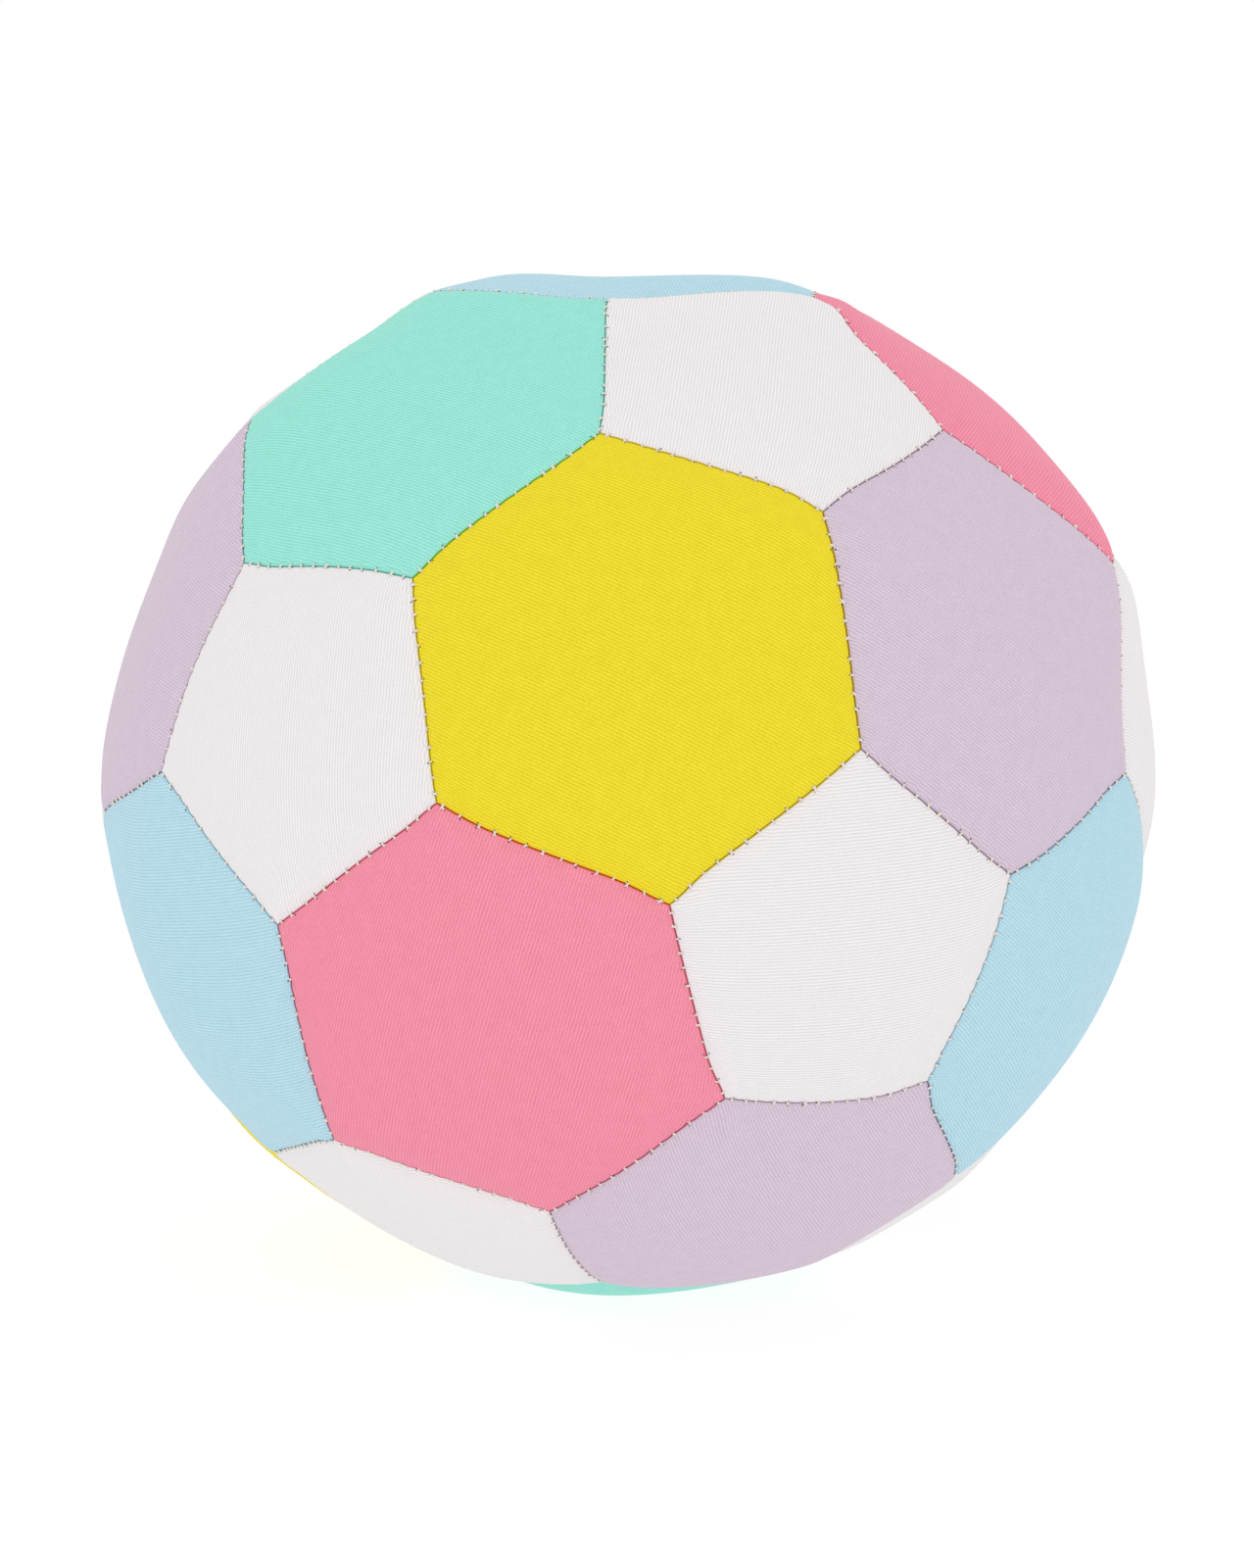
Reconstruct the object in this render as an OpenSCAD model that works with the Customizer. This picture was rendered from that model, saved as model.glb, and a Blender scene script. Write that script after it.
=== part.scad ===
// Sewn beach soccer ball: 12 pentagon and 20 hexagon panels of knit-faced foam
// round an air bladder with a needle valve. The origin is the ball's centre,
// +Z is up, and the ball rests on the flat patch of its lowest hexagon.

/* [Ball] */
// Diameter across opposite panel corners, before their edges are rolled
ball_d = 223; // [190:1:240]
// How far a panel is blown out, from a flat plate (0) to one true sphere (1)
fullness = 0.75; // [0.45:0.05:0.85]
// Radius of the patch that the ball's weight presses flat
rest_r = 18; // [10:1:24]

/* [Panels] */
// Thickness of the knit-faced foam
panel_t = 3; // [2:0.25:4]
// Radius of a panel's rolled edge
edge_roll = 2.5; // [1.5:0.25:3]
// Gap between two sewn panels
seam_gap = 0.2; // [0.1:0.05:0.4]

/* [Seam thread] */
// Diameter of the thread
thread_d = 0.8; // [0.5:0.1:1.2]
// Distance that a thread stops short of the corner where three seams meet
thread_stop = 2; // [1.5:0.25:4]

/* [Bladder] */
// Wall of the bladder
bladder_t = 0.9; // [0.6:0.1:1.5]

/* [Valve] */
// Diameter of the neck that fills the panel's hole
neck_d = 10; // [9:0.5:14]
// Distance that the neck stops below the panel's face
neck_recess = 0.6; // [0.2:0.1:1.5]
// Diameter of the flange under the bladder wall
flange_d = 30; // [22:1:40]
// Thickness of the flange
flange_t = 1.2; // [0.8:0.1:2]
// Diameter of the boot inside the bladder
boot_d = 13; // [10:0.5:16]
// Diameter of the boot's tip
boot_tip_d = 10; // [8.5:0.5:12]
// Length of the boot inside the bladder
boot_l = 9; // [6:0.5:14]
// Diameter of the core that is pressed into the neck and the boot
core_d = 6; // [4.5:0.25:7]
// Distance that the core's head stands out round the core, in the neck's mouth
core_lip = 0.8; // [0.4:0.1:1.1]
// Height of the core's head
core_head_h = 1.2; // [0.8:0.1:2]
// Diameter of the needle's way in
needle_d = 2.2; // [1.6:0.1:3]
// Depth of the funnel at the mouth of the needle's way in
mouth_h = 0.8; // [0.4:0.1:1]
// Length of the closed slit below the needle's way in
slit_l = 4; // [3:0.5:6]
// Diameter of the patch on the bladder
patch_d = 42; // [32:1:48]
// Thickness of the patch
patch_t = 0.5; // [0.3:0.1:0.7]

/* [Fits] */
// Clearance between pieces that are sewn, pressed or bonded together
fit_gap = 0.1; // [0.05:0.01:0.15]
// Clearance between the bladder and the panels that lie on it
bladder_gap = 0.3; // [0.2:0.05:0.5]

/* [Hidden] */
$fa = 2;
$fs = 0.1;

WHITE = "#EDE9EA";
THREAD = "#F3E9DC";
BUTYL = "#2B2B2E";
LATEX = "#C9B79A";
CANVAS = "#D8D2C4";

// Panel names of one colour, its shade, and the three pentagons round each of its hexagons
TOP = [0, 1, 2];
UPPER = [3, 4, 5];
LOWER = [6, 7, 8];
BASE = [9, 10, 11];
HEXAGONS = [
    ["yellow_hexagon", "#EDDA34", [
        [UPPER[2], TOP[0], LOWER[0]], [BASE[2], LOWER[2], BASE[1]],
        [TOP[2], UPPER[1], TOP[1]], [UPPER[0], TOP[1], LOWER[1]]]],
    ["mint_hexagon", "#97E4D4", [
        [UPPER[2], TOP[0], TOP[2]], [BASE[2], BASE[0], BASE[1]],
        [LOWER[2], UPPER[1], BASE[1]], [UPPER[1], TOP[1], LOWER[1]]]],
    ["pink_hexagon", "#F493A7", [
        [UPPER[2], LOWER[0], BASE[2]], [TOP[0], UPPER[0], TOP[1]],
        [TOP[2], LOWER[2], UPPER[1]], [BASE[0], BASE[1], LOWER[1]]]],
    ["lilac_hexagon", "#D4C3D3", [
        [TOP[0], LOWER[0], UPPER[0]], [UPPER[2], TOP[2], LOWER[2]],
        [LOWER[0], BASE[2], BASE[0]], [UPPER[0], BASE[0], LOWER[1]]]],
    ["sky_hexagon", "#B6DBE8", [
        [TOP[0], TOP[2], TOP[1]], [UPPER[2], BASE[2], LOWER[2]],
        [LOWER[0], UPPER[0], BASE[0]], [UPPER[1], BASE[1], LOWER[1]]]]];
HEXAGONS_PER_COLOUR = 4;
PENTAGON_NAME = "white_pentagon";
PENTAGON_COUNT = 12;
VALVE_PENTAGON = UPPER[1];

function numbered(name, i) = str(name, "_", i + 1);

function unit(v) = v / norm(v);
function sum3(list) = list[0] + list[1] + list[2];

// Direction from the ball's centre, by the angle from +Z and the turn from -Y towards +X
function direction(tilt, turn) = [sin(tilt) * sin(turn), -sin(tilt) * cos(turn), cos(tilt)];

// Axes of the 12 pentagons: three at the top, two belts of three, and three at the base
ring_tilt = acos(sqrt((5 + 2 * sqrt(5)) / 15));
belt_tilt = acos(sqrt((5 - 2 * sqrt(5)) / 15));
front_turn = acos((3 * sqrt(5) - 1) / 8) / 2;
third_turn = 360 / 3;
function ring(tilt, turn) = [for (i = [0:2]) direction(tilt, turn + third_turn * i)];
PENTAGON_AXES = concat(
    ring(ring_tilt, front_turn), ring(belt_tilt, front_turn + third_turn / 2),
    ring(180 - belt_tilt, front_turn), ring(180 - ring_tilt, front_turn + third_turn / 2));
neighbour_cos = 1 / sqrt(5);
cos_tolerance = 0.01;
function are_neighbours(a, b) = abs(a * b - neighbour_cos) < cos_tolerance;
function a_neighbour(axis) = [for (other = PENTAGON_AXES) if (are_neighbours(axis, other)) other][0];
function hexagon_axis(trio) = unit(sum3([for (i = trio) PENTAGON_AXES[i]]));

// The flat truncated icosahedron through the panel corners. A pentagon has a corner on its X,
// so its first side is half a side's turn away
corner_r = ball_d / 2;
edge_l = 4 * corner_r / sqrt(58 + 18 * sqrt(5));
mid_edge_r = sqrt(corner_r * corner_r - edge_l * edge_l / 4);
pentagon_turn = 180 / 5;
function polygon_in_r(sides) = edge_l / (2 * tan(180 / sides));
function polygon_out_r(sides) = edge_l / (2 * sin(180 / sides));
function face_h(sides) = sqrt(corner_r * corner_r - pow(polygon_out_r(sides), 2));
function seam_tilt(sides) = atan(polygon_in_r(sides) / face_h(sides));

// Each panel is part of a sphere through its corners and its blown-out edge middles
blown_edge_r = mid_edge_r + (corner_r - mid_edge_r) * fullness;
function crown_centre(sides) =
    (corner_r * corner_r - blown_edge_r * blown_edge_r)
    / (2 * (face_h(sides) - blown_edge_r * cos(seam_tilt(sides))));
function crown_r(sides) = norm([polygon_out_r(sides), face_h(sides) - crown_centre(sides)]);
function crown_top(sides) = crown_centre(sides) + crown_r(sides);
function crown_offset(sides) = -crown_centre(sides) * sin(seam_tilt(sides));

// Every seam is the same circle in its own plane through the ball's centre
seam_centre = crown_centre(6) * cos(seam_tilt(6));
seam_side = seam_gap / 2;
rim_r = sqrt(pow(crown_r(6), 2) - pow(seam_side + edge_roll + crown_offset(6), 2));
roll_centre_r = rim_r - edge_roll;
seam_half_angle = atan(edge_l / 2 / (mid_edge_r - seam_centre));

// The thread lies in the groove between two rolled edges
thread_reach = edge_roll + thread_d / 2 + fit_gap;
thread_r = roll_centre_r + sqrt(pow(thread_reach, 2) - pow(seam_side + edge_roll, 2));
thread_half_angle = seam_half_angle - asin(thread_stop / thread_r);

// The ball's weight flattens its lowest panel, and the bladder lies on that panel
rest_sag = crown_r(6) - sqrt(pow(crown_r(6), 2) - rest_r * rest_r);
rest_h = crown_top(6) - rest_sag;
bladder_r = rest_h - panel_t - bladder_gap;
bladder_inner_r = bladder_r - bladder_t;

// Levels along the valve's axis, measured from the ball's centre
neck_top = crown_top(5) - neck_recess;
flange_top = bladder_inner_r - fit_gap;
boot_bottom = flange_top - flange_t - boot_l;
core_top = neck_top;
core_head_d = core_d + 2 * core_lip;
needle_bottom = boot_bottom + slit_l;

// Turns X, Y and Z onto a panel's or a seam's own axes
module on_axes(x, y, z)
    multmatrix([[x.x, y.x, z.x, 0], [x.y, y.y, z.y, 0], [x.z, y.z, z.z, 0], [0, 0, 0, 1]])
        children();

// Puts a panel's own Z on its axis, with X in the direction of a point beside it
module on_panel_axis(axis, beside) {
    y = unit(cross(axis, beside));
    on_axes(cross(y, axis), y, axis) children();
}

// Common part of what is drawn at each side of a panel, in the seam's plane: X is the
// middle of the seam and Z points into the panel
module within_seams(sides, first_turn)
    intersection_for (i = [0:sides - 1])
        rotate([0, 0, first_turn + 360 / sides * i])
            rotate([0, seam_tilt(sides) - 90, 0])
                children();

// Solid that one rolled edge leaves on the panel's side of its seam
module rolled_side() {
    depth = corner_r;
    translate([seam_centre, 0, 0])
        rotate([0, 0, 180])
            rotate_extrude()
                union() {
                    translate([0, seam_side]) square([roll_centre_r, depth]);
                    translate([0, seam_side + edge_roll]) square([rim_r, depth - edge_roll]);
                    translate([roll_centre_r, seam_side + edge_roll]) circle(edge_roll);
                }
}

// Half of space on the panel's side of its seam, set in by the panel's thickness
module inner_side()
    translate([-2 * corner_r, -2 * corner_r, seam_side + panel_t])
        cube(4 * corner_r);

// Sphere with its poles off the panel's axis
module globe(r)
    rotate([90, 0, 0]) sphere(r);

module crown(sides, inset)
    translate([0, 0, crown_centre(sides)]) globe(crown_r(sides) - inset);

// Everything below a level along the panel's axis
module below(level)
    translate([-corner_r, -corner_r, level - 2 * corner_r]) cube(2 * corner_r);

// Crowned shell with rolled edges, whose seam allowances turn in as far as the bladder.
// No part of it stands higher than top along its axis.
module panel(sides, first_turn, top)
    difference() {
        intersection() {
            crown(sides, 0);
            below(top);
            within_seams(sides, first_turn) rolled_side();
        }
        intersection() {
            crown(sides, panel_t);
            below(top - panel_t);
            within_seams(sides, first_turn) inner_side();
        }
        globe(bladder_r + fit_gap);
    }

module white_pentagon(i) {
    axis = PENTAGON_AXES[i];
    color(WHITE)
        on_panel_axis(axis, a_neighbour(axis))
            difference() {
                panel(5, pentagon_turn, corner_r);
                if (i == VALVE_PENTAGON) neck_hole();
            }
}

// The lowest hexagon is pressed flat where the ball stands
module hexagon(trio, shade) {
    axis = hexagon_axis(trio);
    is_lowest = axis.z < cos_tolerance - 1;
    color(shade)
        on_panel_axis(axis, PENTAGON_AXES[trio[0]])
            panel(6, 0, is_lowest ? rest_h : corner_r);
}

// One seam's thread, an arc in the groove round the middle of the seam
module seam_thread(middle, along)
    on_axes(middle, along, cross(middle, along))
        translate([seam_centre, 0, 0])
            rotate([0, 0, -thread_half_angle])
                rotate_extrude(angle = 2 * thread_half_angle)
                    translate([thread_r, 0])
                        circle(d = thread_d);

module pentagon_seam_thread()
    color(THREAD)
        for (colour = HEXAGONS, trio = colour[2], i = trio) {
            axis = PENTAGON_AXES[i];
            along = unit(cross(axis, hexagon_axis(trio)));
            seam_thread(cos(seam_tilt(5)) * axis + sin(seam_tilt(5)) * cross(along, axis), along);
        }

module hexagon_seam_thread()
    color(THREAD)
        for (i = [0:PENTAGON_COUNT - 2], j = [i + 1:PENTAGON_COUNT - 1]) {
            a = PENTAGON_AXES[i];
            b = PENTAGON_AXES[j];
            if (are_neighbours(a, b)) seam_thread(unit(a + b), unit(b - a));
        }

module on_valve_axis()
    on_panel_axis(PENTAGON_AXES[VALVE_PENTAGON], [0, 0, 1]) children();

// Way for the valve's neck through a panel, the bladder or the patch
module neck_hole()
    cylinder(d = neck_d + 2 * fit_gap, h = 2 * corner_r);

module bladder()
    color(BUTYL)
        difference() {
            sphere(bladder_r);
            sphere(bladder_inner_r);
            on_valve_axis() neck_hole();
        }

module core_blank(gap) {
    translate([0, 0, boot_bottom - gap])
        cylinder(d = core_d + 2 * gap, h = core_top - boot_bottom + 2 * gap);
    translate([0, 0, core_top - core_head_h - gap])
        cylinder(d = core_head_d + 2 * gap, h = core_head_h + 2 * gap);
}

// Neck, flange and boot in one rubber piece; the flange's face follows the bladder wall
module valve_body()
    color(LATEX)
        on_valve_axis()
            difference() {
                union() {
                    translate([0, 0, flange_top - flange_t])
                        cylinder(d = neck_d, h = neck_top - flange_top + flange_t);
                    difference() {
                        intersection() {
                            globe(flange_top);
                            cylinder(d = flange_d, h = flange_top);
                        }
                        globe(flange_top - flange_t);
                    }
                    translate([0, 0, boot_bottom])
                        cylinder(d1 = boot_tip_d, d2 = boot_d, h = boot_l + flange_t / 2);
                }
                core_blank(fit_gap);
            }

// Soft plug with the needle's way in, closed below by the lips of its slit
module valve_core()
    color(BUTYL)
        on_valve_axis()
            difference() {
                core_blank(0);
                translate([0, 0, needle_bottom])
                    cylinder(d = needle_d, h = core_top - needle_bottom + mouth_h);
                translate([0, 0, core_top - mouth_h])
                    cylinder(d1 = needle_d, d2 = needle_d + 2 * mouth_h, h = mouth_h);
            }

module valve_patch()
    color(CANVAS)
        on_valve_axis()
            difference() {
                intersection() {
                    globe(bladder_r + fit_gap + patch_t);
                    cylinder(d = patch_d, h = corner_r);
                }
                globe(bladder_r + fit_gap);
                neck_hole();
            }

for (i = [0:PENTAGON_COUNT - 1])
    white_pentagon(i);
for (colour = HEXAGONS, i = [0:HEXAGONS_PER_COLOUR - 1])
    hexagon(colour[2][i], colour[1]);
pentagon_seam_thread();
hexagon_seam_thread();
bladder();
valve_body();
valve_core();
valve_patch();
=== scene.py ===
import itertools
import math

import bpy
import numpy as np
from mathutils import Matrix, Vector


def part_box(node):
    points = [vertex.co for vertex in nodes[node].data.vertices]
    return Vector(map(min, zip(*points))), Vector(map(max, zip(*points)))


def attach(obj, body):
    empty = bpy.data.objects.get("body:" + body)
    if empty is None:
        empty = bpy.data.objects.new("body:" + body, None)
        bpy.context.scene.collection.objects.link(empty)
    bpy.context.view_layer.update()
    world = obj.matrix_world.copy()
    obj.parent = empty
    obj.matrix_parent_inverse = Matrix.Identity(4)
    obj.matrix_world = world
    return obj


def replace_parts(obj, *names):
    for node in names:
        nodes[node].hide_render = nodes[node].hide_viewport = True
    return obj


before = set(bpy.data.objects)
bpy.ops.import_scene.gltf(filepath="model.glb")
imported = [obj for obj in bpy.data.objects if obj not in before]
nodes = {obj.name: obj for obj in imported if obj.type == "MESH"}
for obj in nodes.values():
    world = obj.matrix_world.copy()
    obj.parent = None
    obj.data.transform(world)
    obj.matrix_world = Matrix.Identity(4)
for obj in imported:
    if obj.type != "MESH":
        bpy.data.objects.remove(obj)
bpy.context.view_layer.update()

scene = bpy.context.scene
scene.view_settings.view_transform = "Standard"
MM = 0.001

# Panels
# Twelve pentagons and twenty hexagons of neoprene foam with a knitted jersey face. Each is cut
# flat, sewn to its neighbours with its edges turned in, and blown out into a shallow dome.
CORNER_R = 111.5 * MM
FOAM_T = 2.0 * MM
ALLOWANCE = 4.0 * MM
SEAM_GAP = 0.04 * MM

# How far the edges bow out, from 0 for straight ones to 1 for those of a sphere
FULLNESS = 0.75

# Each edge dips in a soft shoulder and then rolls tightly into its seam
SHOULDER_W = 9.0 * MM
SHOULDER_H = 1.3 * MM
ROLL_W = 1.4 * MM
ROLL_H = 0.55 * MM

# The dips of two edges blend at their corner, more softly with a lower power
CORNER_BLEND = 3.0

# The stitches of an edge, the dent of each, how far it pulls the knit, and its hole's distance from
# the seam
STITCHES = 14
STITCH_DENT = 0.25 * MM
STITCH_DENT_R = 0.8 * MM
CLOTH_PULL = 0.2 * MM
CLOTH_PULL_R = 2.2 * MM
HOLE_S = 0.48 * MM

# A panel's mesh has rows of points round its middle, which lie closer towards its edges
ROWS = 4 * STITCHES
ROW_CROWDING = 0.5

# Stands in for zero where something is divided by it
TINY = 1e-9

EDGE_L = 4 * CORNER_R / math.sqrt(58 + 18 * math.sqrt(5))
MID_EDGE_R = math.sqrt(CORNER_R ** 2 - EDGE_L ** 2 / 4)
BLOWN_EDGE_R = MID_EDGE_R + (CORNER_R - MID_EDGE_R) * FULLNESS
PITCH = EDGE_L / STITCHES
ROLL_ARC = math.pi / 2 * math.sqrt((ROLL_W ** 2 + ROLL_H ** 2) / 2)
HOLE_V = ROLL_ARC * math.acos(1 - HOLE_S / ROLL_W) / (math.pi / 2)


def linear(code, steps=0):
    """An sRGB hex colour, some steps lighter or darker, as the linear values that shaders take."""
    parts = [min(max(int(code[i:i + 2], 16) + steps, 0), 255) / 255 for i in (1, 3, 5)]
    return [p / 12.92 if p <= 0.04045 else ((p + 0.055) / 1.055) ** 2.4 for p in parts] + [1]


def add(material, kind, inputs=(), **settings):
    """Adds a node; inputs are pairs of a socket and its value, or the node or output that feeds it."""
    made = material.node_tree.nodes.new(kind)
    for name, value in settings.items():
        setattr(made, name, value)
    for socket, value in inputs:
        if isinstance(value, bpy.types.Node):
            value = value.outputs[0]
        if isinstance(value, bpy.types.NodeSocket):
            material.node_tree.links.new(value, made.inputs[socket])
        else:
            made.inputs[socket].default_value = value
    return made


def new_material(name):
    material = bpy.data.materials.new(name)
    material.use_nodes = True
    return material, material.node_tree.nodes["Principled BSDF"]


def finish_with(piece, material):
    piece.data.materials.clear()
    piece.data.materials.append(material)


class Cut:
    """The geometry of one kind of panel, in its own frame: Z is its axis through the ball's centre."""

    def __init__(self, sides):
        self.sides = sides
        self.out_r = EDGE_L / (2 * math.sin(math.pi / sides))
        self.in_r = EDGE_L / (2 * math.tan(math.pi / sides))
        self.face_h = math.sqrt(CORNER_R ** 2 - self.out_r ** 2)
        self.tilt = math.atan(self.in_r / self.face_h)
        self.crown_z = (CORNER_R ** 2 - BLOWN_EDGE_R ** 2) / (
            2 * (self.face_h - BLOWN_EDGE_R * math.cos(self.tilt)))
        self.crown_r = math.hypot(self.out_r, self.face_h - self.crown_z)
        self.half_w = (self.crown_z + self.crown_r) * math.sin(self.tilt)
        self.cloth_w = self.half_w + ROLL_ARC - ROLL_W
        turns = [math.pi / 2 + math.pi / sides * (2 * i + 1) for i in range(sides)]
        self.edge_out = np.array([(math.cos(t), math.sin(t)) for t in turns])
        self.edge_along = np.array([(-math.sin(t), math.cos(t)) for t in turns])
        self.seam_out = np.array([
            (math.cos(t) * math.cos(self.tilt), math.sin(t) * math.cos(self.tilt), -math.sin(self.tilt))
            for t in turns])

    def on_crown(self, ways):
        """Points of the panel's dome in the given directions from the ball's centre."""
        ways = ways / np.linalg.norm(ways, axis=1, keepdims=True)
        low = self.crown_z * ways[:, 2]
        return ways * (low + np.sqrt(low ** 2 - self.crown_z ** 2 + self.crown_r ** 2))[:, None]


def roll_drop(inset):
    """How far an edge lies below the dome, by the distance from its seam's plane."""
    roll = np.clip((inset - SEAM_GAP / 2) / ROLL_W, 0, 1)
    shoulder = np.clip(inset / SHOULDER_W, 0, 1)
    return ROLL_H * (1 - np.sqrt(1 - (1 - roll) ** 2)) + SHOULDER_H * (1 - shoulder) ** 2


def dome(cut, flat):
    """Lays a flat cut on its dome: gives the points, their places on the cloth and from the seam."""
    reach = (flat @ cut.edge_out.T).max(axis=1) / cut.in_r
    rim = flat / np.maximum(reach, TINY)[:, None]
    row = reach * (1 + ROW_CROWDING * (1 - reach))
    from_seam = (1 - row) * cut.cloth_w
    angle = np.clip(from_seam / ROLL_ARC, 0, 1) * math.pi / 2
    inset = SEAM_GAP / 2 + ROLL_W * (1 - np.cos(angle)) + np.maximum(from_seam - ROLL_ARC, 0)
    laid = rim * (1 - inset / cut.half_w)[:, None]
    points = cut.on_crown(np.column_stack([laid, np.full(len(laid), cut.face_h)]))
    sides_in = np.maximum(-points @ cut.seam_out.T, SEAM_GAP / 4)
    nearest = (sides_in ** -CORNER_BLEND).sum(axis=1) ** (-1 / CORNER_BLEND)
    radius = np.linalg.norm(points, axis=1)
    points *= (1 - roll_drop(nearest) / radius)[:, None]
    return points, rim * (row * cut.cloth_w / cut.in_r)[:, None], from_seam


def read_points(piece):
    points = np.empty(len(piece.data.vertices) * 3)
    piece.data.vertices.foreach_get("co", points)
    return points.reshape(-1, 3)


def write_points(piece, points):
    piece.data.vertices.foreach_set("co", np.ascontiguousarray(points, dtype=np.float32).ravel())
    piece.data.update()


def only(piece):
    bpy.ops.object.select_all(action="DESELECT")
    piece.select_set(True)
    bpy.context.view_layer.objects.active = piece


SIM_SCALE = 20
SIM_FRAMES = 16
SWELL_CAP = 0.9 * MM
SEWN_EDGE = 0.2 * MM
SEWN_HOLE_R = 0.45 * MM


def blow_up(panel, held):
    """Swells a panel's foam by a cloth run at a larger scale, held where it is sewn."""
    start = read_points(panel)
    write_points(panel, start * SIM_SCALE)
    sewn = panel.vertex_groups.new(name="sewn")
    sewn.add([int(i) for i in np.flatnonzero(held)], 1.0, "REPLACE")
    only(panel)
    cloth = panel.modifiers.new("foam", "CLOTH")
    cloth.settings.quality = 5
    cloth.settings.mass = 0.02
    cloth.settings.tension_stiffness = 8
    cloth.settings.compression_stiffness = 8
    cloth.settings.shear_stiffness = 4
    cloth.settings.bending_stiffness = 0.5
    cloth.settings.use_pressure = True
    cloth.settings.uniform_pressure_force = 4
    cloth.settings.effector_weights.gravity = 0
    cloth.settings.vertex_group_mass = "sewn"
    cloth.collision_settings.use_collision = False
    for step in range(1, SIM_FRAMES + 1):
        scene.frame_set(step)
    bpy.ops.object.modifier_apply(modifier=cloth.name)
    scene.frame_set(1)
    swell = read_points(panel) / SIM_SCALE - start
    size = np.maximum(np.linalg.norm(swell, axis=1), TINY)
    write_points(panel, start + swell * (SWELL_CAP * np.tanh(size / SWELL_CAP) / size)[:, None])
    panel.vertex_groups.clear()


# The valve's hole runs along the sixth row of points, and over the next eight the rows turn from
# round to five-sided
VALVE_HOLE_R = 5.3 * MM
VALVE_RING = 6
VALVE_BLEND = 8


def rounded_rings(points, ring):
    """Makes the rings of points about the valve round."""
    radius = np.hypot(points[:, 0], points[:, 1])
    step = radius[ring == VALVE_RING + 1].mean() - radius[ring == VALVE_RING].mean()
    rounded = VALVE_HOLE_R + (ring - VALVE_RING) * step
    share = np.clip(1 - (ring - VALVE_RING) / VALVE_BLEND, 0, 1)
    scale = 1 + share * (rounded / np.maximum(radius, TINY) - 1)
    return points * np.column_stack([scale, scale, np.ones(len(points))])


def punch(panel, inside):
    """Deletes the points inside the valve's hole."""
    only(panel)
    bpy.ops.object.mode_set(mode="EDIT")
    bpy.ops.mesh.select_mode(type="VERT")
    bpy.ops.mesh.select_all(action="DESELECT")
    bpy.ops.object.mode_set(mode="OBJECT")
    panel.data.vertices.foreach_set("select", inside)
    bpy.ops.object.mode_set(mode="EDIT")
    bpy.ops.mesh.delete(type="VERT")
    bpy.ops.object.mode_set(mode="OBJECT")


def cut_panel(sides, valve_hole=False):
    """Models one panel of its kind: cut flat, domed, sewn along its edges and blown up."""
    cut = Cut(sides)
    bpy.ops.object.select_all(action="DESELECT")
    bpy.ops.mesh.primitive_circle_add(vertices=sides, radius=cut.out_r, fill_type="TRIFAN")
    panel = bpy.context.object
    bpy.ops.object.mode_set(mode="EDIT")
    bpy.ops.mesh.select_all(action="SELECT")
    bpy.ops.mesh.subdivide(number_cuts=ROWS - 1)
    bpy.ops.object.mode_set(mode="OBJECT")
    flat = read_points(panel)[:, :2]
    points, cloth_place, from_seam = dome(cut, flat)
    write_points(panel, points)

    # Each corner of a face gets its place on the cloth, and along and away from its seam
    corners = np.empty(len(panel.data.loops), dtype=int)
    panel.data.loops.foreach_get("vertex_index", corners)
    middles = flat[corners].reshape(-1, 3, 2).mean(axis=1)
    seam = np.repeat((middles @ cut.edge_out.T).argmax(axis=1), 3)
    reach = (flat @ cut.edge_out.T).max(axis=1) / cut.in_r
    rim = flat / np.maximum(reach, TINY)[:, None]
    along = (rim[corners] * cut.edge_along[seam]).sum(axis=1)
    pulled = CLOTH_PULL * np.exp(-(from_seam[corners] / CLOTH_PULL_R) ** 2) * np.cos(
        (along / PITCH + STITCHES / 2 - 0.5) * 2 * math.pi)
    cloth_place = cloth_place[corners] - cut.edge_out[seam] * pulled[:, None]
    for name, places in (
            ("cloth", cloth_place / MM),
            ("seam", np.column_stack([along + 2 * EDGE_L * seam, from_seam[corners]]) / MM)):
        layer = panel.data.uv_layers.new(name=name)
        layer.data.foreach_set("uv", places.astype(np.float32).ravel())

    # Sewn points: the seam itself, and the needle hole of each stitch
    own_seam = (flat @ cut.edge_out.T).argmax(axis=1)
    own_along = (rim * cut.edge_along[own_seam]).sum(axis=1)
    beside = np.abs((own_along / PITCH + STITCHES / 2) % 1 - 0.5) * PITCH
    hole_off = np.hypot(beside, from_seam - HOLE_V)
    held = (from_seam < SEWN_EDGE) | (hole_off < SEWN_HOLE_R)
    ring = np.rint(reach * ROWS)
    if valve_hole:
        held |= ring <= VALVE_RING
    blow_up(panel, held)
    pull = STITCH_DENT * np.exp(-(hole_off / STITCH_DENT_R) ** 2)
    points = read_points(panel) * (1 - pull / CORNER_R)[:, None]
    if valve_hole:
        points = rounded_rings(points, ring)
    write_points(panel, points)
    if valve_hole:
        punch(panel, ring < VALVE_RING)
    return cut, panel


def turn_in(panel):
    """Turns the sewn edges in towards the ball's centre and gives the foam its thickness."""
    only(panel)
    bpy.ops.object.mode_set(mode="EDIT")
    bpy.ops.mesh.select_mode(type="EDGE")
    bpy.ops.mesh.select_all(action="DESELECT")
    bpy.ops.mesh.select_non_manifold(extend=False, use_wire=False, use_multi_face=False,
                                     use_non_contiguous=False, use_verts=False)
    bpy.ops.mesh.extrude_region_move()
    share = 1 - ALLOWANCE / CORNER_R
    bpy.ops.transform.resize(value=(share, share, share), center_override=(0, 0, 0))
    bpy.ops.object.mode_set(mode="OBJECT")
    foam = panel.modifiers.new("foam", "SOLIDIFY")
    foam.thickness = FOAM_T
    foam.offset = -1
    bpy.ops.object.modifier_apply(modifier=foam.name)
    bpy.ops.object.shade_smooth()


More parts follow.
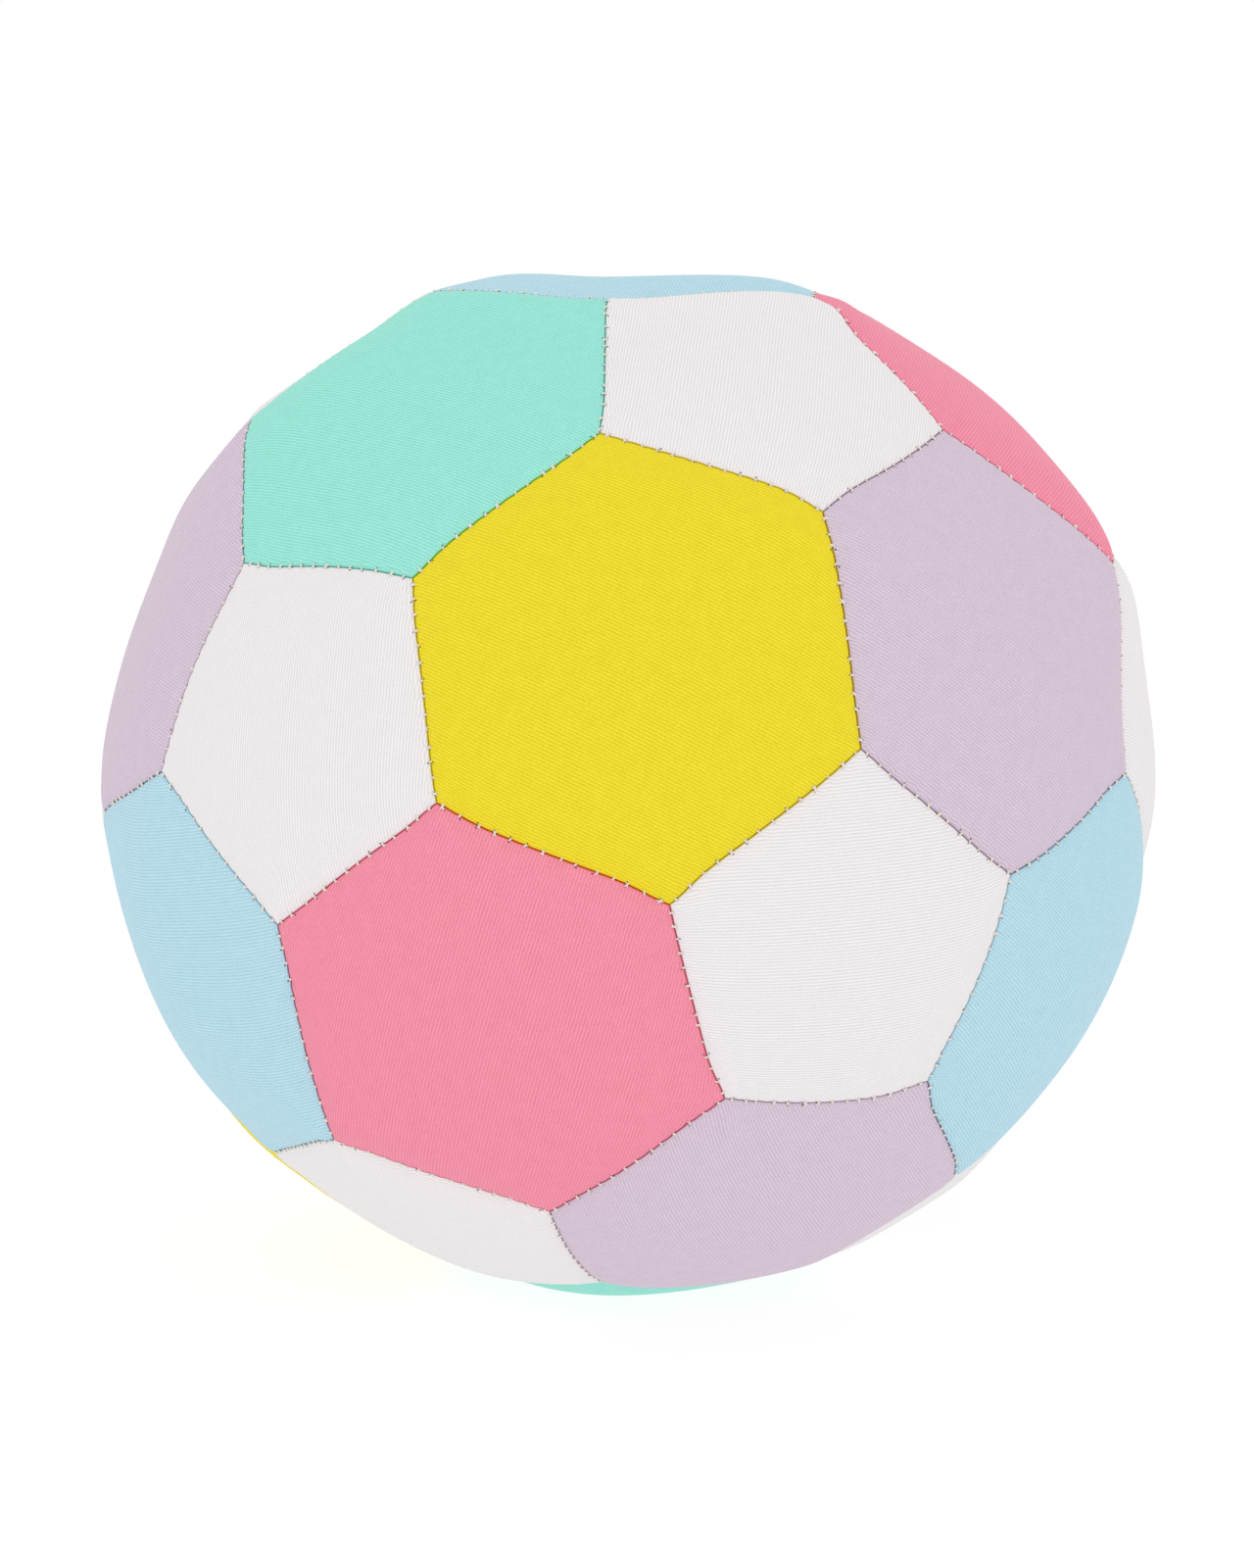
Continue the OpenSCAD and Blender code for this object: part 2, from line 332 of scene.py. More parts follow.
hexagon_cut, hexagon_master = cut_panel(6)
pentagon_cut, pentagon_master = cut_panel(5)
valve_master = cut_panel(5, valve_hole=True)[1]
for master in (hexagon_master, pentagon_master, valve_master):
    turn_in(master)


def unit(v):
    return v / np.linalg.norm(v)


def direction(tilt, turn):
    """From the ball's centre, by the angle from +Z and the turn from -Y towards +X."""
    return np.array([math.sin(tilt) * math.sin(turn), -math.sin(tilt) * math.cos(turn), math.cos(tilt)])


# With a hexagon at the top, the pentagons lie in four rings of three
RING_TILT = math.acos(math.sqrt((5 + 2 * math.sqrt(5)) / 15))
BELT_TILT = math.acos(math.sqrt((5 - 2 * math.sqrt(5)) / 15))
FRONT_TURN = math.acos((3 * math.sqrt(5) - 1) / 8) / 2
PENTAGON_RINGS = (
    (RING_TILT, 0), (BELT_TILT, 60), (math.pi - BELT_TILT, 0), (math.pi - RING_TILT, 60))
pentagon_axes = [
    direction(tilt, FRONT_TURN + math.radians(turn + third))
    for tilt, turn in PENTAGON_RINGS for third in (0, 120, 240)]
NEIGHBOUR_COS = 1 / math.sqrt(5)
COS_TOLERANCE = 0.01


def are_neighbours(a, b):
    return abs(a @ b - NEIGHBOUR_COS) < COS_TOLERANCE


hexagon_axes = [
    unit(a + b + c) for a, b, c in itertools.combinations(pentagon_axes, 3)
    if are_neighbours(a, b) and are_neighbours(b, c) and are_neighbours(a, c)]


def nearest_axis(axes, point):
    return max(axes, key=lambda axis: axis @ point)


def panel_axes(axis, sides):
    """X, Y and Z of a panel's frame: a hexagon's X and a pentagon's Y point to a pentagon beside it."""
    beside = nearest_axis([a for a in pentagon_axes if a @ axis < 1 - COS_TOLERANCE], axis)
    across = unit(beside - (beside @ axis) * axis)
    if sides == 6:
        return np.array([across, np.cross(axis, across), axis])
    return np.array([np.cross(across, axis), across, axis])


# The ball stands on a flat patch with a soft rim
REST_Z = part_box("mint_hexagon_2")[0][2]
REST_SOFTNESS = 0.3 * MM

# It is soft: fuller than a regular ball at its waist, most on the right, and sunk nearly flat at its
# top, most on the left. Fills and slacks are shares of a dome's height, and the spread says how far
# down the top's slack reaches
WAIST_FILL = 0.24
RIGHT_FILL = 0.06
TOP_SLACK = 0.88
TOP_SLACK_SPREAD = 0.45
LEFT_SLACK = 0.36

# One white panel at the top left lies flat within the raised rims of its neighbours
FLAT_PANEL = 3
FLAT_PANEL_SLACK = 1.2
FLAT_RIM_LIFT = 1.4 * MM
FLAT_RIM_TILT = math.radians(22)
FLAT_RIM_W = math.radians(8)

# The panels before the top one bulge up beside its seams and hide them from the front
TOP_BULGE = 1.8 * MM
TOP_BULGE_OFF = 6.0 * MM
TOP_BULGE_W = 5.0 * MM
TOP_BULGE_ABOVE = 0.5
TOP_BULGE_FROM = 0.1
TOP_BULGE_FADE = 0.2
top_seams = hexagon_cut.seam_out @ panel_axes(nearest_axis(hexagon_axes, (0, 0, 1)), 6)

# Spots that the sewing and filling have pulled out of place. A spot lies at the mean of the white
# pentagons that it names, so (4, 4, 1) is the corner of pentagon 4 towards pentagon 1, and its pull
# is how far it has gone to the right, back and up, in mm
PULLS = {
    (4, 4, 1): (5, 0, -0.8), (1, 1, 7): (0, 0, 2.5), (12, 12, 6): (-1, 0, -2),
    (9, 9, 6): (-1.5, 0, 1.5), (6, 6, 3): (0, 0, -1.5), (1, 1, 3): (0, 0, -1.5),
    (3, 3, 6): (-1.5, 5, -1), (3, 3, 1): (0.4, 5, -1), (7, 7, 4): (-0.4, 0, -0.8),
    (6, 6, 1): (-1, 0, -0.5), (6, 6, 7): (-1, 0, -0.5), (1, 1, 2): (0.3, 0, 0.6),
    (7, 7, 12): (0.2, 0, 0.6), (10, 10, 12): (4, 0, 1), (3, 3, 1, 6): (-1.4, 0, 2),
    (12, 12, 12, 12, 9, 11): (2, -3, 2), (12, 12, 11): (2.5, -3, 1),
    (12, 12, 11, 11, 9): (-2.5, 0, -2), (12, 12, 9, 9): (-0.8, 5, -0.8),
    (9, 9, 9, 12): (1, 0, 0.5), (10, 10, 7): (1, 0, -1), (7, 7, 10): (-1, 0, -0.5),
    (1, 2, 4): (0.6, 0, 0.5), (10, 10, 10): (-0.9, 0, 0.9), (4, 4, 4): (-0.8, 0, -0.1)}
PULL_R = 20 * MM

# A pull has faded away at three times its radius; this is the square of that
PULL_END = 3 ** 2

# At a corner one panel is nipped blunt and the others run to sharper tips
NIPS = {
    (1, 1, 7): (-0.4, 0, -0.9), (7, 7, 6): (0.5, 0, -1.4), (6, 6, 1): (0.5, 0, -0.6),
    (1, 1, 6): (-0.8, 0, 0.2), (6, 6, 7): (-0.2, 0, 0.9), (7, 7, 1): (0.4, 0, 0.8)}
NIP = 0.7
NIP_R = 6 * MM

# Smaller waves, as in any sewn thing
WAVES = 7
WAVE_H = 0.15 * MM
WAVE_LENGTHS_MM = (30, 80)
SEED = 11
draw = np.random.default_rng(SEED)
wave_ways = np.array([unit(w) for w in draw.normal(size=(WAVES, 3))])
wave_lengths = draw.uniform(*WAVE_LENGTHS_MM, WAVES) * MM
wave_starts = draw.uniform(0, 2 * math.pi, WAVES)
wave_pulls = np.array([unit(w) for w in draw.normal(size=(WAVES, 3))]) * WAVE_H
pentagon_corners = [
    (i + 1, i + 1, j + 1) for i, a in enumerate(pentagon_axes) for j, b in enumerate(pentagon_axes)
    if are_neighbours(a, b)]
nips = {corner: draw.normal(size=3) * NIP for corner in pentagon_corners} | NIPS

# Round the valve the panel stays in place
valve_middle = np.mean(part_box("valve_core"), axis=0)
VALVE_HOLD_R = 16 * MM

# A face that looks away counts as one that is nearly side-on, at this cosine
LEAST_COS = 0.1
face_axes = np.array(hexagon_axes + pentagon_axes)
face_cuts = [hexagon_cut] * len(hexagon_axes) + [pentagon_cut] * len(pentagon_axes)


def dome_height(ways):
    """How far the regular ball's domes stand over its flat faces in the given directions."""
    to_faces = np.maximum(ways @ face_axes.T, LEAST_COS)
    flat = np.array([cut.face_h for cut in face_cuts]) / to_faces
    own = flat.argmin(axis=1)
    low = np.array([cut.crown_z for cut in face_cuts])[own] * to_faces[np.arange(len(ways)), own]
    depth = np.array([cut.crown_z ** 2 - cut.crown_r ** 2 for cut in face_cuts])[own]
    return low + np.sqrt(low ** 2 - depth) - flat.min(axis=1)


def settle(points):
    """Moves points of the regular ball to where the sewn and standing ball has them."""
    ways = points / np.linalg.norm(points, axis=1, keepdims=True)
    right, up = ways[:, 0], ways[:, 2]
    slack = TOP_SLACK * up * (TOP_SLACK_SPREAD + (1 - TOP_SLACK_SPREAD) * up)
    slack -= WAIST_FILL + right * (RIGHT_FILL + LEFT_SLACK * up)
    to_flat = ways @ pentagon_axes[FLAT_PANEL - 1]
    rim = math.cos(pentagon_cut.tilt)
    slack += FLAT_PANEL_SLACK * np.clip((to_flat - rim) / (1 - rim), 0, 1)
    from_rim = (np.arccos(np.clip(to_flat, -1, 1)) - FLAT_RIM_TILT) / FLAT_RIM_W
    out = FLAT_RIM_LIFT * np.exp(-from_rim ** 2) - slack * dome_height(ways)
    from_bulge = ((points @ top_seams.T).max(axis=1) - TOP_BULGE_OFF) / TOP_BULGE_W
    front = np.clip((-ways[:, 1] - TOP_BULGE_FROM) / TOP_BULGE_FADE, 0, 1) * (up > TOP_BULGE_ABOVE)
    out += TOP_BULGE * front * np.exp(-from_bulge ** 2)
    moved = points + ways * out[:, None]
    phase = points @ (wave_ways / wave_lengths[:, None]).T * 2 * math.pi + wave_starts
    moved += np.sin(phase) @ wave_pulls
    for spots, spread in ((PULLS, PULL_R), (nips, NIP_R)):
        for numbers, pull in spots.items():
            spot = unit(sum(pentagon_axes[n - 1] for n in numbers)) * CORNER_R
            off = ((points - spot) ** 2).sum(axis=1) / spread ** 2
            near = off < PULL_END
            moved[near] += np.exp(-off[near])[:, None] * np.array(pull) * MM
    from_valve = points - unit(valve_middle) * CORNER_R
    loose = 1 - np.exp(-(from_valve ** 2).sum(axis=1) / VALVE_HOLD_R ** 2)
    moved = points + (moved - points) * loose[:, None]
    over = (moved[:, 2] - REST_Z) / REST_SOFTNESS
    moved[:, 2] = REST_Z + REST_SOFTNESS * np.logaddexp(0, over)
    return moved


# Direction of the knit's ribs as the front shows it, in degrees from level; the panels
# that aren't named here were cut at any angle
RIBS_SEEN = {
    "yellow_hexagon_1": -25, "pink_hexagon_1": 75, "pink_hexagon_2": 33, "mint_hexagon_1": -8,
    "lilac_hexagon_1": -40, "lilac_hexagon_3": -62, "sky_hexagon_2": 16, "sky_hexagon_3": -65,
    "white_pentagon_1": 79, "white_pentagon_6": 88, "white_pentagon_7": 3}


def rib_turn(name, axes):
    """Angle of a panel's ribs in its own frame."""
    if name not in RIBS_SEEN:
        return draw.uniform(0, math.pi)
    seen = math.radians(RIBS_SEEN[name])
    sideways = np.cross((0, 1, 0), (math.cos(seen), 0, math.sin(seen)))
    rib = np.cross(axes[2], sideways)
    return math.atan2(rib @ axes[1], rib @ axes[0])


# The knit's 0.58 mm ribs and 0.45 mm rows are drawn a little coarser, so that they show
RIB_MM = 0.62
COURSE_MM = 0.48
FUZZ_MM = 0.5
MOTTLE_MM = 3.0

# How much the fuzz and the soft mottle of the dye add to the ribs' light and shade
FUZZ_SHARE = 0.5
MOTTLE_SHARE = 0.2

# Width of the seam's crease of painted shade and painted bounce light, the share of it that is darkest,
# and the power by which the panel's own colour is darkened for the painted shade in it
CREASE_MM = 0.65
CREASE_CORE = 0.6
CREASE_SHADE_POWER = 1.2

# A needle hole's dot fades out between two radii, and shows where its number, drawn between 0 and 1,
# is high enough
HOLE_FADE_MM = (0.12, 0.26)
HOLE_CHANCE = (0.6, 0.7)
HOLE_DARKNESS = 0.85
HOLE_COLOUR = "#3A3436"

# Further than anything on a panel
FAR_MM = 1000


def jersey_neoprene(name, code, loop_shares, shade_steps, wander):
    """Knitted jersey on foam: matt ribs of small leaning loops, a soft fuzz, dark needle holes."""
    material, skin = new_material(name)
    cloth = add(material, "ShaderNodeUVMap", uv_map="cloth")

    # The ribs, and the two legs of the loops that cross them; the shares say how much each shows
    height = 0.0
    for way, share in zip(((1, 0), (1, 1), (-1, 1)), loop_shares):
        across, along = way[0] / RIB_MM, way[1] / COURSE_MM
        turned = add(material, "ShaderNodeMapping", [
            ("Vector", cloth), ("Rotation", (0, 0, -math.atan2(along, across)))])
        wave = add(material, "ShaderNodeTexWave", [
            ("Vector", turned), ("Scale", math.pi / 10 * math.hypot(across, along)),
            ("Distortion", wander), ("Detail", 2.0), ("Detail Scale", 1.0)])
        height = add(material, "ShaderNodeMath", [
            (0, wave.outputs["Fac"]), (1, share), (2, height)], operation="MULTIPLY_ADD")
    fuzz = add(material, "ShaderNodeTexNoise", [
        ("Vector", cloth), ("Scale", 1 / FUZZ_MM), ("Detail", 3.0)], noise_dimensions="2D")
    mottle = add(material, "ShaderNodeTexNoise", [
        ("Vector", cloth), ("Scale", 1 / MOTTLE_MM), ("Detail", 4.0)], noise_dimensions="2D")

    # The grooves lie in shade, and the fuzz on the crests catches white light. Fuzz and mottle are
    # about one half on average, which is taken off again
    average = (FUZZ_SHARE + MOTTLE_SHARE) / 2
    clouded = add(material, "ShaderNodeMath", [
        (0, mottle), (1, MOTTLE_SHARE), (2, -average)], operation="MULTIPLY_ADD")
    clouded = add(material, "ShaderNodeMath", [
        (0, fuzz), (1, FUZZ_SHARE), (2, clouded)], operation="MULTIPLY_ADD")
    tone = add(material, "ShaderNodeMath", [(0, height), (1, clouded)], operation="ADD")
    knit = add(material, "ShaderNodeMix", [
        ("Factor", tone), (6, linear(code, -shade_steps)), (7, linear(code, shade_steps))],
        data_type="RGBA").outputs[2]

    # Painted shade and painted bounce light in the seam's crease: the light there has bounced off both
    # panels, so it is darkened and takes on both their colours
    own_crease_shade = [c ** CREASE_SHADE_POWER for c in linear(code)]
    beyond = add(material, "ShaderNodeAttribute", attribute_name="beyond")
    crease_bounce = add(material, "ShaderNodeMix", [
        ("Factor", 1.0), (6, own_crease_shade), (7, beyond)],
        data_type="RGBA", blend_type="MULTIPLY").outputs[2]
    seam = add(material, "ShaderNodeUVMap", uv_map="seam")
    from_seam = add(material, "ShaderNodeSeparateXYZ", [(0, seam)]).outputs[1]
    crease_shade_mask = add(material, "ShaderNodeMapRange", [
        ("Value", from_seam), ("From Min", CREASE_MM * CREASE_CORE), ("From Max", CREASE_MM),
        ("To Min", 1.0), ("To Max", 0.0)], interpolation_type="SMOOTHSTEP")
    crease_shaded = add(material, "ShaderNodeMix", [
        ("Factor", crease_shade_mask), (6, knit), (7, crease_bounce)], data_type="RGBA").outputs[2]

    # Some of the needle holes show as dark dots
    pitch = PITCH / MM
    from_hole = add(material, "ShaderNodeVectorMath", [
        (0, seam), (1, (pitch / 2, HOLE_V / MM, 0))], operation="SUBTRACT")
    wrapped = add(material, "ShaderNodeVectorMath", [
        (0, from_hole), (1, (pitch / 2, FAR_MM, 1)), (2, (-pitch / 2, -FAR_MM, -1))], operation="WRAP")
    off = add(material, "ShaderNodeVectorMath", [(0, wrapped)], operation="LENGTH").outputs["Value"]
    number = add(material, "ShaderNodeVectorMath", [
        (0, seam), (1, (pitch, FAR_MM, 1))], operation="SNAP")
    chance = add(material, "ShaderNodeTexWhiteNoise", [("Vector", number)])
    shows = add(material, "ShaderNodeMapRange", [
        ("Value", chance), ("From Min", HOLE_CHANCE[0]), ("From Max", HOLE_CHANCE[1]),
        ("To Max", HOLE_DARKNESS)])
    hole = add(material, "ShaderNodeMapRange", [
        ("Value", off), ("From Min", HOLE_FADE_MM[0]), ("From Max", HOLE_FADE_MM[1]),
        ("To Min", shows), ("To Max", 0.0)], interpolation_type="SMOOTHSTEP")
    colour = add(material, "ShaderNodeMix", [
        ("Factor", hole), (6, crease_shaded), (7, linear(HOLE_COLOUR))], data_type="RGBA").outputs[2]
    ribs_bump = add(material, "ShaderNodeBump", [
        ("Height", height), ("Strength", 0.4), ("Distance", 0.16 * MM)])
    bump = add(material, "ShaderNodeBump", [
        ("Height", fuzz), ("Strength", 0.1), ("Distance", 0.06 * MM), ("Normal", ribs_bump)])
    material.node_tree.links.new(colour, skin.inputs["Base Color"])
    material.node_tree.links.new(bump.outputs[0], skin.inputs["Normal"])
    skin.inputs["Roughness"].default_value = 0.9
    skin.inputs["Specular IOR Level"].default_value = 0.1
    skin.inputs["Sheen Weight"].default_value = 0.15
    skin.inputs["Sheen Roughness"].default_value = 0.25
    return material


PANEL_COLOURS = {
    "white_pentagon": "#E9E5E6", "yellow_hexagon": "#E8D42A", "mint_hexagon": "#95E0D1",
    "pink_hexagon": "#F08CA1", "lilac_hexagon": "#D0BFCF", "sky_hexagon": "#B2D6E3"}

# How much the ribs and the two legs of the loops show, the sRGB steps up to the crests and down to
# the grooves, and how far the lines wander. The white knit is plainer than the coloured ones
COLOURED_LOOPS = (0.45, 0.35, 0.2)
COLOURED_STEPS = 20
COLOURED_WANDER = 1.3
WHITE_LOOPS = (0.76, 0.12, 0.12)
WHITE_STEPS = 12
WHITE_WANDER = 0.5


def kind_of(name):
    return name.rsplit("_", 1)[0]


panel_names = sorted(n for n in nodes if kind_of(n) in PANEL_COLOURS)
middles = {n: unit(np.mean([v.co for v in nodes[n].data.vertices], axis=0)) for n in panel_names}


def colours_beyond(name, own_axes, cut):
    """The dyes of the panels across each of a panel's seams, in the order of its seams, for the painted
    bounce light in its creases.
    """
    dyes = []
    for out in cut.edge_out:
        way = own_axes.T @ (*(out * cut.in_r), cut.face_h)
        other = max((n for n in panel_names if n != name), key=lambda n: middles[n] @ way)
        dyes.append(linear(PANEL_COLOURS[kind_of(other)]))
    return np.array(dyes)


for kind, code in PANEL_COLOURS.items():
    colour_name = kind.split("_")[0]
    look = COLOURED_LOOPS, COLOURED_STEPS, COLOURED_WANDER
    if colour_name == "white":
        look = WHITE_LOOPS, WHITE_STEPS, WHITE_WANDER
    knit = jersey_neoprene(f"{colour_name}_jersey_neoprene", code, *look)
    cut, axes = (pentagon_cut, pentagon_axes) if "pentagon" in kind else (hexagon_cut, hexagon_axes)
    for name in (n for n in panel_names if kind_of(n) == kind):
        own_axes = panel_axes(nearest_axis(axes, middles[name]), cut.sides)
        master = pentagon_master if cut.sides == 5 else hexagon_master
        if own_axes[2] @ unit(valve_middle) > 1 - COS_TOLERANCE:
            master = valve_master
        panel = master.copy()
        panel.data = master.data.copy()
        panel.name = panel.data.name = f"{name}_panel"
        scene.collection.objects.link(panel)
        write_points(panel, settle(read_points(master) @ own_axes))
        turn = rib_turn(name, own_axes)
        layer = panel.data.uv_layers["cloth"].data
        places = np.empty(len(layer) * 2, dtype=np.float32)
        layer.foreach_get("uv", places)
        turned = places.reshape(-1, 2) @ np.array([
            (math.sin(turn), math.cos(turn)), (-math.cos(turn), math.sin(turn))])
        layer.foreach_set("uv", turned.astype(np.float32).ravel())
        panel.data.uv_layers["seam"].data.foreach_get("uv", places)
        seam = np.rint(places[::2] * MM / (2 * EDGE_L)).astype(int)
        dyes = colours_beyond(name, own_axes, cut)[seam]
        # Each corner keeps the colour across its seam, which tints the painted shade and bounce light
        # in the crease
        beyond = panel.data.color_attributes.new("beyond", "FLOAT_COLOR", "CORNER")
        beyond.data.foreach_set("color", dyes.astype(np.float32).ravel())
        finish_with(panel, knit)
        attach(panel, "root")
        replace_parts(panel, name)
for master in (hexagon_master, pentagon_master, valve_master):
    bpy.data.objects.remove(master)

# Seam stitches
# Cream polyester thread, sewn through both rolled edges: two strands cross over the seam at every
# needle hole, pulled tight enough to dent the foam.
STRAND_R = 0.16 * MM
STRAND_SIDES = 6
STRAND_STEPS = 5
STRAND_TWIST = math.radians(28)
STITCH_RISE = 0.3 * MM
STITCH_DIVE = 0.3 * MM
STITCH_PAST_HOLE = 0.1 * MM

# One strand lies higher and the other lower by this share of its radius
STRAND_CLIMB = 0.4

# How much one stitch differs from the next in place, turn, size and depth
STITCH_STRAY = 0.3 * MM
STITCH_TURN = math.radians(18)
STITCH_SIZES = (0.6, 1.1)
STITCH_SINK = 0.12 * MM


def model_stitch():
    """Two thin crossed arches over the seam: X is along the seam, Y across it and Z out of the ball."""
    reach = HOLE_S + STITCH_PAST_HOLE
    arch_r = (reach ** 2 + STITCH_RISE ** 2) / (2 * STITCH_RISE)
    half_angle = math.asin(reach / arch_r)
    strands = []
    for side in (-1, 1):
        top = STITCH_RISE + side * STRAND_CLIMB * STRAND_R
        middle = (0, 0, top - arch_r)
        bpy.ops.object.select_all(action="DESELECT")
        bpy.ops.mesh.primitive_circle_add(
            vertices=STRAND_SIDES, radius=STRAND_R, fill_type="NGON", location=(0, 0, top),
            rotation=(math.pi / 2, 0, 0))
        strands.append(bpy.context.object)
        bpy.ops.object.transform_apply(location=True, rotation=True)
        bpy.ops.object.mode_set(mode="EDIT")
        bpy.ops.mesh.select_all(action="SELECT")
        bpy.ops.transform.rotate(value=-half_angle, orient_axis="X", center_override=middle)
        bpy.ops.mesh.spin(steps=STRAND_STEPS, angle=2 * half_angle, center=middle, axis=(1, 0, 0))
        bpy.ops.mesh.select_all(action="SELECT")
        bpy.ops.transform.rotate(value=side * STRAND_TWIST, orient_axis="Z", center_override=(0, 0, 0))
        bpy.ops.mesh.normals_make_consistent(inside=False)
        bpy.ops.object.mode_set(mode="OBJECT")
    strands[0].select_set(True)
    bpy.ops.object.join()
    return bpy.context.object


stitch_master = model_stitch()
stitch_points = read_points(stitch_master)
stitch_faces = [list(face.vertices) for face in stitch_master.data.polygons]
bpy.data.objects.remove(stitch_master)


def thread_polyester(name, code, shade_code, twist_mm):
    """Twisted polyester: off-white, slightly glossy, with the twist's fine shadows."""
    material, skin = new_material(name)
    place = add(material, "ShaderNodeTexCoord").outputs["Object"]
    twist = add(material, "ShaderNodeTexNoise", [
        ("Vector", place), ("Scale", 1 / (twist_mm * MM)), ("Detail", 2.0)]).outputs["Fac"]
    colour = add(material, "ShaderNodeMix", [
        ("Factor", twist), (6, linear(shade_code)), (7, linear(code))], data_type="RGBA").outputs[2]
    bump = add(material, "ShaderNodeBump", [
        ("Height", twist), ("Strength", 0.5), ("Distance", 0.08 * MM)]).outputs["Normal"]
    material.node_tree.links.new(colour, skin.inputs["Base Color"])
    material.node_tree.links.new(bump, skin.inputs["Normal"])
    skin.inputs["Roughness"].default_value = 0.6
    skin.inputs["Sheen Weight"].default_value = 0.2
    return material


def sew(name, seams, material):
    """One piece with the stitches of all the given seams, each a middle and a direction along it."""
    hub_h = hexagon_cut.crown_z * math.cos(hexagon_cut.tilt)
    points = []
    for middle, along in seams:
        hub = middle * hub_h
        seam_r = np.linalg.norm(middle * MID_EDGE_R + along * EDGE_L / 2 - hub)
        across = np.cross(middle, along)
        for number in range(STITCHES):
            place = (number + 0.5 - STITCHES / 2) * PITCH + draw.normal() * STITCH_STRAY
            way = unit(middle * MID_EDGE_R + along * place)
            low = way @ hub
            radius = low + math.sqrt(low ** 2 - hub @ hub + seam_r ** 2)
            turn = draw.normal() * STITCH_TURN
            size = draw.uniform(*STITCH_SIZES)
            ahead = np.cross(across, way)
            x = math.cos(turn) * ahead + math.sin(turn) * across
            y = np.cross(way, x)
            level = radius - roll_drop(np.array(HOLE_S)) - STITCH_DIVE - draw.uniform(0, STITCH_SINK)
            points.append(stitch_points * size @ np.array([x, y, way]) + way * level)
    count = len(stitch_points)
    mesh = bpy.data.meshes.new(name)
    mesh.from_pydata(
        settle(np.concatenate(points)).tolist(), [],
        [[v + i * count for v in face] for i in range(len(points)) for face in stitch_faces])
    piece = bpy.data.objects.new(name, mesh)
    scene.collection.objects.link(piece)
    only(piece)
    bpy.ops.object.shade_smooth()
    finish_with(piece, material)
    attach(piece, "root")
    return piece


thread = thread_polyester("cream_polyester_thread", "#F4EDE4", "#DDD2C6", 0.5)
hexagon_seams = [
    (unit(a + b), unit(b - a)) for a, b in itertools.combinations(pentagon_axes, 2)
    if are_neighbours(a, b)]
pentagon_seams = []
for hexagon in hexagon_axes:
    for pentagon in sorted(pentagon_axes, key=lambda a: -(a @ hexagon))[:3]:
        along = unit(np.cross(pentagon, hexagon))
        outward = np.cross(along, pentagon)
        middle = math.cos(pentagon_cut.tilt) * pentagon + math.sin(pentagon_cut.tilt) * outward
        pentagon_seams.append((middle, along))
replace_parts(sew("hexagon_seam_stitches", hexagon_seams, thread), "hexagon_seam_thread")
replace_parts(sew("pentagon_seam_stitches", pentagon_seams, thread), "pentagon_seam_thread")

# Bladder
# The air bag: a hollow sphere of black butyl rubber, dusted with talc, that goes in through the
# last open seam. It lies against the backs of the panels, and where they sink it gives way.
BLADDER_R = (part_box("bladder")[1][0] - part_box("bladder")[0][0]) / 2
BLADDER_T = 0.9 * MM
BLADDER_SEGMENTS = 96
BLADDER_RINGS = round(math.pi * BLADDER_R / VALVE_HOLE_R)


def model_bladder():
    """A sphere with its pole at the valve; its first ring is the hole round the valve's neck."""
    bpy.ops.object.select_all(action="DESELECT")
    bpy.ops.mesh.primitive_uv_sphere_add(
        segments=BLADDER_SEGMENTS, ring_count=BLADDER_RINGS, radius=BLADDER_R)
    bladder = bpy.context.object
    bladder.name = bladder.data.name = "bladder_bag"
    height = read_points(bladder)[:, 2]
    punch(bladder, height == height.max())
    axes = panel_axes(nearest_axis(pentagon_axes, valve_middle), 5)
    points = settle(read_points(bladder) @ axes)
    radius = np.linalg.norm(points, axis=1, keepdims=True)
    write_points(bladder, points * np.minimum(BLADDER_R / radius, 1))
    wall = bladder.modifiers.new("wall", "SOLIDIFY")
    wall.thickness = BLADDER_T
    wall.offset = -1
    bpy.ops.object.modifier_apply(modifier=wall.name)
    bpy.ops.object.shade_smooth()
    return bladder


DUST_PATCH_MM = 12


def rubber(name, code, dust_code, grain_mm, roughness):
    """Moulded rubber: matt, with the mould's fine grain and a bloom of dust in soft patches."""
    material, skin = new_material(name)
    place = add(material, "ShaderNodeTexCoord").outputs["Object"]
    patches = add(material, "ShaderNodeTexNoise", [
        ("Vector", place), ("Scale", 1 / (DUST_PATCH_MM * MM)), ("Detail", 4.0)]).outputs["Fac"]
    dust = add(material, "ShaderNodeMapRange", [
        ("Value", patches), ("From Min", 0.45), ("From Max", 0.75), ("To Max", 0.5)]).outputs[0]
    colour = add(material, "ShaderNodeMix", [
        ("Factor", dust), (6, linear(code)), (7, linear(dust_code))], data_type="RGBA").outputs[2]
    grain = add(material, "ShaderNodeTexNoise", [
        ("Vector", place), ("Scale", 1 / (grain_mm * MM)), ("Detail", 2.0)]).outputs["Fac"]
    bump = add(material, "ShaderNodeBump", [
        ("Height", grain), ("Strength", 0.4), ("Distance", 0.1 * MM)]).outputs["Normal"]
    material.node_tree.links.new(colour, skin.inputs["Base Color"])
    material.node_tree.links.new(bump, skin.inputs["Normal"])
    skin.inputs["Roughness"].default_value = roughness
    skin.inputs["IOR"].default_value = 1.52
    return material


bladder = model_bladder()
finish_with(bladder, rubber("butyl_bladder", "#2B2B2E", "#6E6C6A", 0.6, 0.6))
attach(bladder, "root")
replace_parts(bladder, "bladder")

# Valve
# A pale latex boot with a flange under the bladder wall, a soft black core pressed into it
# for the pump's needle, and a canvas patch that is cemented on the bladder round its neck.
finish_with(nodes["valve_body"], rubber("latex_boot", "#C9B79A", "#DDD0BA", 0.4, 0.5))
finish_with(nodes["valve_core"], rubber("butyl_core", "#2B2B2E", "#4A4948", 0.3, 0.55))

WEFT_SHADE = 0.8


